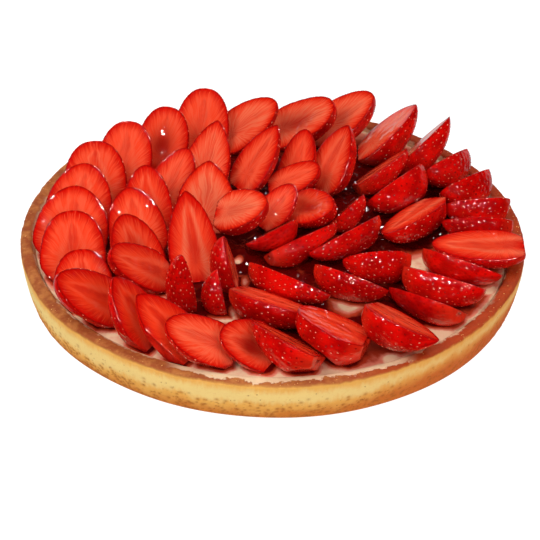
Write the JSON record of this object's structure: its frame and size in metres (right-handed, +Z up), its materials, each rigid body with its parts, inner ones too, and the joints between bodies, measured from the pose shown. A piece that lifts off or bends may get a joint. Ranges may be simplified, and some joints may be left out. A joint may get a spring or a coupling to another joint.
{
  "type": "strawberry tart",
  "caption": "Round shortcrust tart filled with cream and topped with glazed strawberry halves standing in rings.",
  "frame": {"origin": "centre of the crust's flat foot, on the surface the tart stands on", "axes": "+Z up, +X to the right and +Y away from the viewer in the picture's view"},
  "size_m": [0.24, 0.24, 0.0534],
  "materials": {
    "crust": "dry baked shortcrust, pale gold with browner edges",
    "cream": "smooth moist custard cream",
    "strawberry": "wet glazed fruit, red skin and lighter cut faces"
  },
  "bodies": {
    "root": {"cream": "cream", "crust": "crust", "strawberry_inner_01": "strawberry", "strawberry_inner_02": "strawberry", "strawberry_inner_03": "strawberry", "strawberry_inner_04": "strawberry", "strawberry_inner_05": "strawberry", "strawberry_inner_06": "strawberry", "strawberry_inner_07": "strawberry", "strawberry_inner_08": "strawberry", "strawberry_inner_09": "strawberry", "strawberry_inner_10": "strawberry", "strawberry_middle_01": "strawberry", "strawberry_middle_02": "strawberry", "strawberry_middle_03": "strawberry", "strawberry_middle_04": "strawberry", "strawberry_middle_05": "strawberry", "strawberry_middle_06": "strawberry", "strawberry_middle_07": "strawberry", "strawberry_middle_08": "strawberry", "strawberry_middle_09": "strawberry", "strawberry_middle_10": "strawberry", "strawberry_middle_11": "strawberry", "strawberry_middle_12": "strawberry", "strawberry_middle_13": "strawberry", "strawberry_middle_14": "strawberry", "strawberry_middle_15": "strawberry", "strawberry_middle_16": "strawberry", "strawberry_middle_17": "strawberry", "strawberry_middle_18": "strawberry", "strawberry_middle_19": "strawberry", "strawberry_outer_01": "strawberry", "strawberry_outer_02": "strawberry", "strawberry_outer_03": "strawberry", "strawberry_outer_04": "strawberry", "strawberry_outer_05": "strawberry", "strawberry_outer_06": "strawberry", "strawberry_outer_07": "strawberry", "strawberry_outer_08": "strawberry", "strawberry_outer_09": "strawberry", "strawberry_outer_10": "strawberry", "strawberry_outer_11": "strawberry", "strawberry_outer_12": "strawberry", "strawberry_outer_13": "strawberry", "strawberry_outer_14": "strawberry", "strawberry_outer_15": "strawberry", "strawberry_outer_16": "strawberry", "strawberry_outer_17": "strawberry", "strawberry_outer_18": "strawberry", "strawberry_outer_19": "strawberry", "strawberry_outer_20": "strawberry", "strawberry_outer_21": "strawberry", "strawberry_outer_22": "strawberry", "strawberry_outer_23": "strawberry", "strawberry_outer_24": "strawberry", "strawberry_outer_25": "strawberry", "strawberry_outer_26": "strawberry", "strawberry_outer_27": "strawberry", "strawberry_outer_28": "strawberry", "strawberry_outer_29": "strawberry"}
  },
  "joints": []
}
